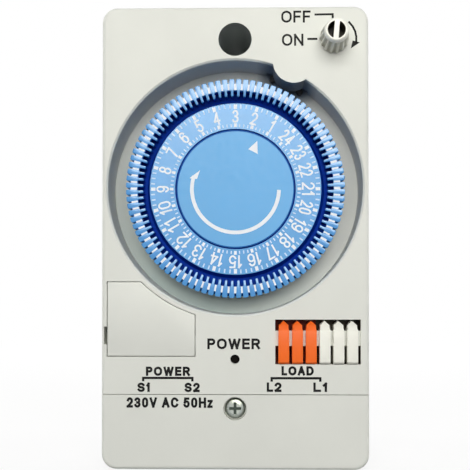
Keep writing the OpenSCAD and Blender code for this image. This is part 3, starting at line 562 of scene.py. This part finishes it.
def letter(bm, text, width, height, weight, surface, place):
    """Adds a word of a given width, height and line weight, centred on a place."""
    natural = sum(SIGNS[sign][0] for sign in text) + SIGN_GAP * (len(text) - 1)
    scale = width / natural
    left, base = (weight - width) / 2, (weight - height) / 2
    low, high = film(surface)
    for sign in text:
        cell, paths = SIGNS[sign]
        wide, tall = cell * scale - weight, height - weight
        top = high
        for path in paths:
            points = [(left + u * wide, base + v * tall) for u, v in path]
            top = stroke(bm, points, weight / 2, low, top, place)
        left += (cell + SIGN_GAP) * scale


def round_edges(bm, edges, width, segments, clamp):
    """Bevels edges to an even width."""
    bmesh.ops.bevel(
        bm, geom=edges, offset=width, offset_type="OFFSET", segments=segments, profile=0.5,
        affect="EDGES", clamp_overlap=clamp, material=-1,
    )


def settle(bm, name, body, material, smooth=None, stands_for=(), matrix=FACE):
    """Turns a bmesh into a piece at the origin that rides on a body.

    Faces that meet at less than smooth degrees are shaded as one.
    """
    bmesh.ops.transform(bm, verts=bm.verts, matrix=matrix)
    bmesh.ops.recalc_face_normals(bm, faces=bm.faces)
    mesh = bpy.data.meshes.new(name)
    bm.to_mesh(mesh)
    bm.free()
    if smooth:
        mesh.polygons.foreach_set("use_smooth", [True] * len(mesh.polygons))
        mesh.set_sharp_from_angle(angle=radians(smooth))
    mesh.materials.append(FINISHES[material])
    piece = bpy.data.objects.new(name, mesh)
    bpy.context.scene.collection.objects.link(piece)
    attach(piece, body)
    if stands_for:
        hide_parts(*stands_for)


# Merging distance of a copied node in metres, and what counts as flat, as an edge and as smooth.
COPY_MERGE = 2e-6
COPY_FLAT = radians(0.5)
COPY_EDGE = radians(28)
COPY_SMOOTH = 40


def rounded_copy(node, name, body, material, width, segments):
    """A CAD node's shape with its sharp edges rounded."""
    bm = bmesh.new()
    bm.from_mesh(frame["nodes"][node].data)
    bmesh.ops.remove_doubles(bm, verts=bm.verts, dist=COPY_MERGE)
    bmesh.ops.dissolve_limit(bm, angle_limit=COPY_FLAT, verts=bm.verts, edges=bm.edges)
    edges = [e for e in bm.edges if len(e.link_faces) == 2 and e.calc_face_angle() > COPY_EDGE]
    round_edges(bm, edges, width, segments, clamp=True)
    settle(bm, name, body, material, COPY_SMOOTH, (node,), Matrix())


# Operators


class TIMESWITCH_OT_finishes(bpy.types.Operator):
    """Make the materials and lay them on the CAD nodes"""
    bl_idname = "timeswitch.finishes"
    bl_label = "Finishes"

    # The trip star takes the black finish as painted shade, since it lies in the shade under the boss.
    special = {
        "pointer_disc": "pointer", "scale_disc": "scale", "trip_star": "black_plastic",
        "switch_knob": "knob", "cover_screw": "screw",
    }

    def shell_hollows(self):
        """Painted shade in the screw tube, in the two halves of the pin rack, round the trip boss and on the low
        side of the well.
        """
        first, last = face_box("on_pin_1")[0], face_box("off_pin_3")[1]
        parting = face_box("on_pin_3")[1].x + 0.2
        rack = {"y0": first.y - 0.4, "y1": last.y + 0.4, "low": 38, "high": FRONT_Z - 0.75}
        return [
            # Painted shade down the screw tube, short of its mouth.
            Bore(0, TUBE_Y, radius=3.78, low=1, high=FRONT_Z - 0.25, shade=srgb(172, 178, 176)),
            # Painted shade in the pin rack, in two halves: beside the orange pins it is dark red, painted bounce
            # light off them, and it stays when the pins are pulled out.
            Trough(parting, last.x + 0.75, **rack, shade=srgb(62, 52, 38)),
            Trough(first.x - 0.75, parting, **rack, shade=srgb(118, 22, 10)),
            # Painted shade on the boss walls and the well floor round the trip boss.
            Bore(
                BOSS_X, BOSS_Y, radius=8.5, low=RING_LOW - 6, high=FRONT_Z - 0.12,
                shade=srgb(112, 124, 134), soft=3,
            ),
            # Painted shadow on the well floor, darker towards the lower left.
            Bore(
                -14, DIAL_Y - 26, radius=44, low=WELL_Z - 0.2, high=WELL_Z + 0.1,
                shade=srgb(173, 186, 180), soft=36,
            ),
        ]

    def knob_hollows(self):
        """Painted shade in the flutes and the cup of the knob."""
        return [
            # Painted shade in the flutes, with a soft edge that follows their taper.
            Bore(
                KNOB_X, KNOB_Y, radius=3.26, low=FRONT_Z, high=KNOB_TOP - 0.8,
                shade=srgb(184, 182, 167), soft=0.28, taper=0.098,
            ),
            # Painted shade in the cup of the knob.
            Bore(
                KNOB_X, KNOB_Y, radius=2, low=FRONT_Z, high=KNOB_TOP - 0.3,
                shade=srgb(54, 50, 38),
            ),
        ]

    def execute(self, context):
        dial = context.scene.timeswitch_dial
        case = context.scene.timeswitch_case
        steel, ivory, navy = tuple(case.steel), tuple(case.ivory), tuple(dial.navy)
        low, high = face_box("cover_screw")
        screw_y = (low.y + high.y) / 2
        # Painted shade in the cross recess of the cover screw.
        cross_shade = Bore(
            0, screw_y, radius=1.36, low=high.z - 2, high=high.z - 0.12, shade=srgb(70, 78, 74)
        )
        # Lower walls of the inner notches painted hub navy: partly the navy hub under a thin comb, partly painted
        # shade deep in the notches.
        navy_notch_shade = Bore(
            0, DIAL_Y, radius=WEB_IN + 0.05, low=RING_LOW - 0.1, high=RING_TOP - 1, shade=navy
        )
        FINISHES.update({
            "shell": moulded("shell_satin", tuple(case.shell), hollows=self.shell_hollows()),
            "steel": plated("plated_steel", steel),
            "screw": plated("screw_steel", steel, hollows=[cross_shade]),
            "brass": plated("stamped_brass", srgb(206, 172, 96), (600, 40, 60), (0.28, 0.44)),
            "blue_plastic": polished(
                "ring_blue", tuple(dial.ring), 0.05, (0.18, 0.26), coat=0.2, specular=0.7,
                hollows=[navy_notch_shade],
            ),
            "scale": polished("scale_blue", tuple(dial.blue), 0.04, (0.2, 0.26)),
            "pointer": moulded(
                "pointer_blue", tuple(dial.sky), 0.03, (0.42, 0.52), grain=900, depth=0.00002,
                specular=0.5,
            ),
            "navy_plastic": polished("hub_navy", navy, 0.1, (0.5, 0.62), specular=0.05),
            "white_plastic": polished("ivory_plastic", ivory, 0.03, (0.28, 0.4), specular=0.3),
            "knob": polished(
                "knob_ivory", tinted(ivory, -0.03), 0.03, (0.3, 0.42), hollows=self.knob_hollows()
            ),
            "orange_plastic": polished(
                "orange_plastic", tuple(case.orange), 0.05, (0.3, 0.42), specular=0.25
            ),
            "gear_plastic": moulded(
                "natural_acetal", srgb(232, 230, 222), 0.04, (0.36, 0.48), grain=900
            ),
            # Besides the black pieces of this slot, this finish darkens the trip star as painted shade.
            "black_plastic": moulded(
                "phenolic_black_and_star_shade", srgb(36, 36, 38), 0.15, (0.45, 0.6), grain=1200
            ),
            "lead_cover": moulded("lead_rubber", srgb(40, 40, 42), 0.12, (0.55, 0.7), grain=700),
            "board": laminate("board_green", srgb(32, 96, 58)),
            "led": polished("lamp_lens", srgb(16, 12, 9), 0.15, (0.1, 0.18), specular=0.06),
            "print_white": ink("dial_print", tuple(dial.print_white), 0.02),
            "print_pale": ink("faint_print", srgb(206, 227, 247), 0.03),
            "print_black": ink("label_print", tuple(case.ink), 0.12),
            "print_navy": ink("border_print", srgb(24, 98, 176), 0.08),
        })
        for part in frame["record"]["subparts"]:
            node = part["node"]
            mesh = frame["nodes"][node].data
            mesh.materials.clear()
            mesh.materials.append(FINISHES[self.special.get(node, part["material_slot"])])
        return {"FINISHED"}


class TIMESWITCH_OT_ring(bpy.types.Operator):
    """Build the ring of the dial with rounded ribs and a web between them"""
    bl_idname = "timeswitch.ring"
    bl_label = "Ribbed ring"

    rib_w = 0.58
    rib_cut = 0.12
    tip_w = 1.2
    tip_cut = 0.18

    def execute(self, context):
        rib, tip = self.rib_w / 2, self.tip_w / 2
        web = [(rib, WEB_IN), (tip, WEB_OUT)]
        right = [
            (rib - self.rib_cut, RIB_IN), (rib, RIB_IN + self.rib_cut), *web,
            (tip, RIB_OUT - self.tip_cut), (tip - self.tip_cut, RIB_OUT),
        ]
        outline = right + [(-x, y) for x, y in reversed(right)]
        inner, outer = (right.index(corner) for corner in web)
        bm = bmesh.new()
        ribs = []
        for i in range(RIBS):
            turn = around(0, (i + 0.5) * 360 / RIBS)
            ribs.append([bm.verts.new(turn @ Vector((x, y, RING_TOP))) for x, y in outline])
            bm.faces.new(ribs[i])
        for here, after in zip(ribs, ribs[1:] + ribs[:1]):
            bm.faces.new((here[-1 - inner], here[-1 - outer], after[outer], after[inner]))
        draw_out(bm, bm.faces[:], RING_LOW - RING_TOP)
        below = RING_TOP - HAIR
        rim = [
            e for e in bm.edges
            if min(v.co.z for v in e.verts) > below
            and any(min(v.co.z for v in face.verts) < below for face in e.link_faces)
        ]
        edge = context.scene.timeswitch_dial.rib_bevel / MM
        round_edges(bm, rim, edge, 2, clamp=False)
        settle(bm, "ribbed_ring", "dial", "blue_plastic", 30, ("dial_ring",))
        return {"FINISHED"}


class TIMESWITCH_OT_dial_print(bpy.types.Operator):
    """Print the hours, the ticks and the marks between the ribs"""
    bl_idname = "timeswitch.dial_print"
    bl_label = "Dial print"

    top_hour = 3
    one_w = 0.9
    digit_w = 1.5
    pair_w = 2.95
    tick_in, tick_out = 14.2, 19.35
    hour_ends = 15.05, 18.3
    quarter_ends = 14.9, 18.45
    inner_share = 0.85
    mark_hour = 0.52
    mark_quarter = 0.4
    mark_inset = 0.08
    mark_depth, mark_rise = 0.02, 0.03

    def execute(self, context):
        look = context.scene.timeswitch_dial
        bm = bmesh.new()
        height, weight = look.numeral_h / MM, look.numeral_w / MM
        for hour in range(1, 25):
            place = around(look.numeral_r / MM, (hour - self.top_hour) * 360 / 24)
            width = self.pair_w if hour > 9 else self.one_w if hour == 1 else self.digit_w
            letter(bm, str(hour), width, height, weight, DISC_TOP, place)
        settle(bm, "hour_numerals", "dial", "print_white")

        hours = bmesh.new()
        quarters = bmesh.new()
        marks = bmesh.new()
        disc = film(DISC_TOP)
        mark_z = RING_TOP - self.mark_depth, RING_TOP + self.mark_rise
        for i in range(RIBS):
            turn = around(0, i * 360 / RIBS)
            if i % 4 == 0:
                ticks, width, ends, mark = hours, look.hour_w / MM, self.hour_ends, self.mark_hour
            else:
                ticks, width = quarters, look.quarter_w / MM
                ends, mark = self.quarter_ends, self.mark_quarter
            bar(ticks, width, ends[1], self.tick_out, *disc, turn)
            bar(ticks, width * self.inner_share, self.tick_in, ends[0], *disc, turn)
            bar(marks, mark, WEB_IN + self.mark_inset, WEB_OUT - self.mark_inset, *mark_z, turn)
        settle(hours, "hour_ticks", "dial", "print_white")
        settle(quarters, "quarter_ticks", "dial", "print_pale")
        settle(marks, "ring_marks", "dial", "print_white")
        return {"FINISHED"}


class TIMESWITCH_OT_pointer_print(bpy.types.Operator):
    """Print the time pointer and the turning arrow on the fixed disc"""
    bl_idname = "timeswitch.pointer_print"
    bl_label = "Pointer print"

    triangle = [(5.0, 11.0), (2.95, 9.1), (5.1, 8.0)]
    barb = [(-8.1, 4.3), (-10.5, 2.5), (-8.8, 2.3)]
    arc_r = 9.95
    arc_w = 0.85
    arc_start, arc_sweep, arc_steps = -1.5, -196, 72
    border_w = 0.24
    border_steps = 96
    border_merge = 1e-4

    def execute(self, context):
        low, high = film(DISC_TOP)
        bm = bmesh.new()
        plate(bm, self.triangle, low, high, DIAL)
        plate(bm, self.barb, low, high + HAIR, DIAL)
        r0, r1 = self.arc_r - self.arc_w / 2, self.arc_r + self.arc_w / 2
        band(bm, r0, r1, self.arc_start, self.arc_sweep, low, high, self.arc_steps, DIAL)
        settle(bm, "pointer_marks", "case", "print_white")
        border = bmesh.new()
        r0 = POINTER_R - self.border_w
        band(border, r0, POINTER_R, 0, 360, low, high, self.border_steps, DIAL)
        bmesh.ops.remove_doubles(border, verts=border.verts, dist=self.border_merge)
        settle(border, "pointer_border", "case", "print_navy")
        return {"FINISHED"}


class TIMESWITCH_OT_labels(bpy.types.Operator):
    """Print the plain function words and lines on the face and the cover"""
    bl_idname = "timeswitch.labels"
    bl_label = "Face labels"

    # Each word has its left and right end, the height of its middle and its letters' height.
    knob_words = [("OFF", 10.4, 17.0, 49.66, 2.7), ("ON", 10.56, 15.37, 44.43, 2.7)]
    case_words = [
        ("POWER", -6.2, 5.6, -23.84, 2.4), ("POWER", -20.0, -10.1, -30.0, 2.07),
        ("S1", -21.9, -19.1, -33.6, 2.1), ("S2", -11.3, -7.9, -33.6, 2.1),
        ("LOAD", 10.4, 17.6, -29.85, 2.07), ("L2", 7.1, 10.4, -33.5, 2.1),
        ("L1", 17.5, 20.6, -33.5, 2.1),
    ]
    cover_words = [("230V AC 50Hz", -24.3, -5.0, -37.0, 2.3)]
    knob_lines = [[(18.1, 50.1), (21.95, 50.15), (21.95, 49.5)], [(16.5, 44.6), (18.3, 44.6)]]
    case_lines = [
        [(-20.6, -32.0), (-20.6, -31.5), (-9.55, -31.5), (-9.55, -32.0)],
        [(8.2, -32.0), (8.2, -31.5), (19.05, -31.5), (19.05, -32.0)],
    ]
    turn_r = 5.05
    turn_span = 47, -8
    turn_head = [(26.0, 42.4), (28.0, 43.75), (26.4, 44.2)]

    def words(self, bm, rows, weight):
        """Adds the words of some rows in one line weight."""
        for text, x0, x1, y, height in rows:
            place = Matrix.Translation(((x0 + x1) / 2, y, 0))
            letter(bm, text, x1 - x0, height, weight, FRONT_Z, place)

    def execute(self, context):
        look = context.scene.timeswitch_case
        thin, bold = look.thin_w / MM, look.bold_w / MM
        low, high = film(FRONT_Z)
        bm = bmesh.new()
        turn = arc(KNOB_X, KNOB_Y, self.turn_r, self.turn_r, *self.turn_span)
        for words, lines, weight in (
            (self.knob_words, [*self.knob_lines, turn], thin),
            (self.case_words, self.case_lines, bold),
        ):
            self.words(bm, words, weight)
            for line in lines:
                stroke(bm, line, weight / 2, low, high)
        plate(bm, self.turn_head, low, high)
        settle(bm, "case_labels", "case", "print_black")
        cover = bmesh.new()
        self.words(cover, self.cover_words, bold)
        settle(cover, "cover_labels", "cover", "print_black")
        return {"FINISHED"}


class TIMESWITCH_OT_pins(bpy.types.Operator):
    """Round the edges of the six setting pins"""
    bl_idname = "timeswitch.pins"
    bl_label = "Setting pins"

    def execute(self, context):
        edge = context.scene.timeswitch_case.pin_edge
        for kind, slot in (("on", "orange_plastic"), ("off", "white_plastic")):
            for i in (1, 2, 3):
                node = f"{kind}_pin_{i}"
                rounded_copy(node, f"{kind}_clip_{i}", node, slot, edge, 2)
        return {"FINISHED"}


class TIMESWITCH_OT_knob(bpy.types.Operator):
    """Round the edges of the fluted switch knob"""
    bl_idname = "timeswitch.knob"
    bl_label = "Switch knob"

    def execute(self, context):
        edge = context.scene.timeswitch_case.pin_edge
        rounded_copy("switch_knob", "fluted_knob", "knob", "knob", edge, 2)
        return {"FINISHED"}


class TIMESWITCH_OT_lid(bpy.types.Operator):
    """Round the edges of the battery lid"""
    bl_idname = "timeswitch.lid"
    bl_label = "Battery lid"

    def execute(self, context):
        edge = context.scene.timeswitch_case.edge
        rounded_copy("battery_lid", "rounded_lid", "lid", "shell", edge, 3)
        return {"FINISHED"}


def area_light(name, place, aim, size, power, colour=(1, 1, 1), diffuse=True, glossy=True):
    """A soft rectangular light aimed at a point, for matt or glossy light or both."""
    data = bpy.data.lights.new(name, "AREA")
    data.shape = "RECTANGLE"
    data.size, data.size_y = size
    data.energy = power
    data.color = colour
    lamp = bpy.data.objects.new(name, data)
    lamp.location = place
    lamp.rotation_euler = (Vector(aim) - Vector(place)).to_track_quat("-Z", "Y").to_euler()
    lamp.visible_diffuse, lamp.visible_glossy = diffuse, glossy
    bpy.context.scene.collection.objects.link(lamp)


def seen_directly(tree):
    """Factor of one for rays from the camera, mirrors and glass, and nought for the rest."""
    path = tree.nodes.new("ShaderNodeLightPath")
    total = path.outputs["Is Camera Ray"]
    for ray in ("Is Glossy Ray", "Is Transmission Ray"):
        either = tree.nodes.new("ShaderNodeMath")
        either.operation = "MAXIMUM"
        tree.links.new(total, either.inputs[0])
        tree.links.new(path.outputs[ray], either.inputs[1])
        total = either.outputs[0]
    return total


def mixed(tree, factor, first, second):
    """Mix of two shaders by a factor."""
    mix = tree.nodes.new("ShaderNodeMixShader")
    for start, end in zip((factor, first.outputs[0], second.outputs[0]), mix.inputs):
        tree.links.new(start, end)
    return mix


class TIMESWITCH_OT_stage(bpy.types.Operator):
    """Set the pale floor, the soft light and the camera"""
    bl_idname = "timeswitch.stage"
    bl_label = "Stage"

    # Metres of the frame and degrees; rise is the camera's shift in image heights.
    eye = (0.0051, -0.2566, -0.0112)
    pitch = 0.91
    yaw = 1.4
    rise = 0.08
    sensor = 36
    near_clip = 0.01
    aim = Vector((0, -0.045, 0.005))
    front_reach = 0.68
    floor_half = 3
    floor_gap = 0.0002
    floor_fade = 0.1, 0.45
    floor_dim = -0.88
    cool = (0.85, 0.93, 1)
    warm = (1, 0.96, 0.78)
    white = (1, 1, 1)

    def floor(self, look):
        """A pale floor, whiter away from the object, that throws little light back."""
        bm = bmesh.new()
        bmesh.ops.create_grid(bm, x_segments=8, y_segments=8, size=self.floor_half)
        bmesh.ops.translate(bm, verts=bm.verts, vec=(0, 0, CAD_BOX[0][2] - self.floor_gap))
        mesh = bpy.data.meshes.new("floor")
        bm.to_mesh(mesh)
        bm.free()
        pale = tuple(look.floor)
        n = Nodes("floor_pale")
        n.paint(n.noise(3), pale, 0.01, 0, 0.3)
        fill(n.shader, {"Roughness": 0.8, "Specular IOR Level": 0.1})
        away = n.add("ShaderNodeVectorMath")
        away.operation = "LENGTH"
        n.link(n.coords, away.inputs[0])
        share = n.spread(away.outputs["Value"], look.glow, 1, *self.floor_fade)
        seen = mixed(n.tree, share, n.shader, n.add("ShaderNodeEmission", Strength=1))
        quiet = n.add("ShaderNodeBsdfDiffuse", Color=(*tinted(pale, self.floor_dim), 1))
        surface = mixed(n.tree, seen_directly(n.tree), quiet, seen)
        n.link(surface.outputs[0], n.tree.nodes["Material Output"].inputs["Surface"])
        mesh.materials.append(n.material)
        floor = bpy.data.objects.new("floor", mesh)
        bpy.context.scene.collection.objects.link(floor)

    def world(self, look):
        """White where it is seen, and a faint cool light from all round."""
        world = bpy.data.worlds.new("studio")
        world.use_nodes = True
        bpy.context.scene.world = world
        tree = world.node_tree
        even = tree.nodes["Background"]
        fill(even, {"Color": (*self.cool, 1), "Strength": look.ambient})
        bright = tree.nodes.new("ShaderNodeBackground")
        fill(bright, {"Color": (*self.white, 1)})
        surface = mixed(tree, seen_directly(tree), even, bright)
        tree.links.new(surface.outputs[0], tree.nodes["World Output"].inputs["Surface"])

    def lights(self, look):
        """A soft light in front, its sheen from a little higher, and weaker lights all round."""
        for name, side, rise, size, power, colour, matt in (
            ("key", 0.01, 18, (0.52, 0.42), look.key_power, self.white, True),
            ("sheen", 0.1, 24, (0.62, 0.35), look.sheen_power, self.warm, False),
        ):
            away = Vector((side, -cos(radians(rise)), sin(radians(rise))))
            place = self.aim + self.front_reach * away
            area_light(name, place, self.aim, size, power, colour, matt, not matt)
        for name, place, aim, width, share in (
            ("left", (-0.6, 0.12, 0.15), (0, -0.02, 0.02), 0.4, 1),
            ("right", (0.6, 0.12, 0.15), (0, -0.02, 0.02), 0.4, 1),
            ("back", (0, 0.6, 0.2), (0, -0.02, 0.02), 0.4, 1.6),
            ("above", (0, -0.02, 0.9), (0, 0, 0), 0.7, 0.8),
        ):
            area_light(name, place, aim, (width, width), share * look.side_power)

    def camera(self, look):
        """The view of the face, from a little below its middle."""
        data = bpy.data.cameras.new("camera")
        data.lens = look.lens
        data.sensor_width = self.sensor
        data.shift_y = self.rise
        data.clip_start = self.near_clip
        camera = bpy.data.objects.new("camera", data)
        camera.location = self.eye
        camera.rotation_euler = (radians(90 + self.pitch), 0, radians(self.yaw))
        bpy.context.scene.collection.objects.link(camera)
        bpy.context.scene.camera = camera

    def execute(self, context):
        look = context.scene.timeswitch_stage
        context.scene.view_settings.view_transform = "Standard"
        self.floor(look)
        self.world(look)
        self.lights(look)
        self.camera(look)
        return {"FINISHED"}


class TIMESWITCH_PT_panel(bpy.types.Panel):
    """Sizes, colours and building steps in the sidebar"""
    bl_idname = "TIMESWITCH_PT_panel"
    bl_label = "Time switch"
    bl_space_type = "VIEW_3D"
    bl_region_type = "UI"
    bl_category = "Time switch"

    def draw(self, context):
        column = self.layout.column()
        for name, group in GROUPS.items():
            for field in group.__annotations__:
                column.prop(getattr(context.scene, name), field)
        for operator in OPERATORS:
            column.operator(operator.bl_idname)


GROUPS = {
    "timeswitch_dial": DialLook,
    "timeswitch_case": CaseLook,
    "timeswitch_stage": StageLook,
}
OPERATORS = [
    TIMESWITCH_OT_finishes, TIMESWITCH_OT_ring, TIMESWITCH_OT_dial_print,
    TIMESWITCH_OT_pointer_print, TIMESWITCH_OT_labels, TIMESWITCH_OT_pins, TIMESWITCH_OT_knob,
    TIMESWITCH_OT_lid, TIMESWITCH_OT_stage,
]


def register():
    for kind in [*GROUPS.values(), *OPERATORS, TIMESWITCH_PT_panel]:
        bpy.utils.register_class(kind)
    for name, group in GROUPS.items():
        setattr(bpy.types.Scene, name, PointerProperty(type=group))


def unregister():
    for name in GROUPS:
        delattr(bpy.types.Scene, name)
    for kind in [TIMESWITCH_PT_panel, *reversed(OPERATORS), *reversed(GROUPS.values())]:
        bpy.utils.unregister_class(kind)


def main():
    """Builds every piece."""
    register()
    for operator in OPERATORS:
        group, call = operator.bl_idname.split(".")
        getattr(getattr(bpy.ops, group), call)()


if __name__ == "__main__":
    main()
